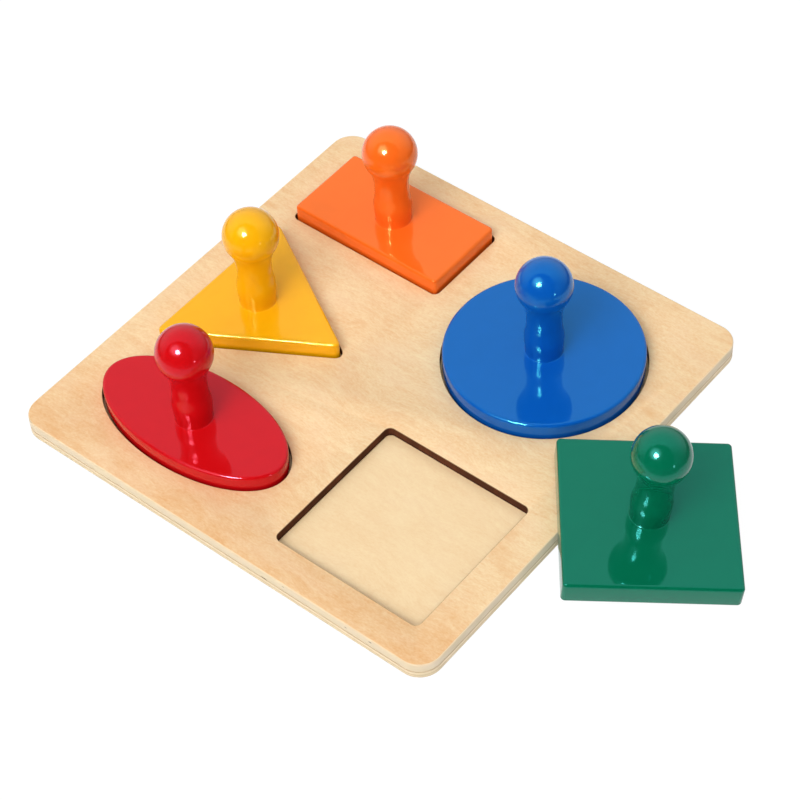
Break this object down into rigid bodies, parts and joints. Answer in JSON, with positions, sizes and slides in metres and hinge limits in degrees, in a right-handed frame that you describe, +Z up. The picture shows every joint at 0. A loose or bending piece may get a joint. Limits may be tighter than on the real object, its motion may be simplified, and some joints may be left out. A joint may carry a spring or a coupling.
{
  "type": "knobbed shape puzzle",
  "caption": "Square plywood board with cut-out shapes and painted wooden blocks with tall turned knobs; the square block is out and leans on the board's edge.",
  "frame": {"origin": "middle of the board's underside", "axes": "+Z up, square to the board; +Y from the middle of the board towards the edge that the loose square block leans on; +X towards the side of the square recess and the oval"},
  "size_m": [0.3, 0.4045, 0.0925],
  "materials": {
    "top_plywood": "sanded birch plywood, bare, darkened edges in the cut-outs",
    "backing_plywood": "sanded birch plywood, bare",
    "circle_paint": "blue gloss paint on wood",
    "circle_knob_paint": "blue gloss paint on turned wood",
    "circle_screw_zinc": "zinc plated steel",
    "square_paint": "green gloss paint on wood",
    "square_knob_paint": "green gloss paint on turned wood",
    "square_screw_zinc": "zinc plated steel",
    "triangle_paint": "yellow gloss paint on wood",
    "triangle_knob_paint": "yellow gloss paint on turned wood",
    "triangle_screw_zinc": "zinc plated steel",
    "rectangle_paint": "orange gloss paint on wood",
    "rectangle_knob_paint": "orange gloss paint on turned wood",
    "rectangle_screw_zinc": "zinc plated steel",
    "oval_paint": "red gloss paint on wood",
    "oval_knob_paint": "red gloss paint on turned wood",
    "oval_screw_zinc": "zinc plated steel"
  },
  "bodies": {
    "board": {"top_panel": "top_plywood", "backing_panel": "backing_plywood"},
    "circle_piece": {"circle_block": "circle_paint", "circle_knob": "circle_knob_paint", "circle_screw": "circle_screw_zinc"},
    "square_piece": {"square_block": "square_paint", "square_knob": "square_knob_paint", "square_screw": "square_screw_zinc"},
    "triangle_piece": {"triangle_block": "triangle_paint", "triangle_knob": "triangle_knob_paint", "triangle_screw": "triangle_screw_zinc"},
    "rectangle_piece": {"rectangle_block": "rectangle_paint", "rectangle_knob": "rectangle_knob_paint", "rectangle_screw": "rectangle_screw_zinc"},
    "oval_piece": {"oval_block": "oval_paint", "oval_knob": "oval_knob_paint", "oval_screw": "oval_screw_zinc"}
  },
  "joints": [
    {"name": "circle_lift", "type": "slide", "parent": "board", "child": "circle_piece", "axis": [0, 0, 1], "range_m": [0, 0.1]},
    {"name": "square_lift", "type": "slide", "parent": "board", "child": "square_piece", "axis": [0, 0, 1], "range_m": [0, 0.1]},
    {"name": "triangle_lift", "type": "slide", "parent": "board", "child": "triangle_piece", "axis": [0, 0, 1], "range_m": [0, 0.1]},
    {"name": "rectangle_lift", "type": "slide", "parent": "board", "child": "rectangle_piece", "axis": [0, 0, 1], "range_m": [0, 0.1]},
    {"name": "oval_lift", "type": "slide", "parent": "board", "child": "oval_piece", "axis": [0, 0, 1], "range_m": [0, 0.1]}
  ]
}
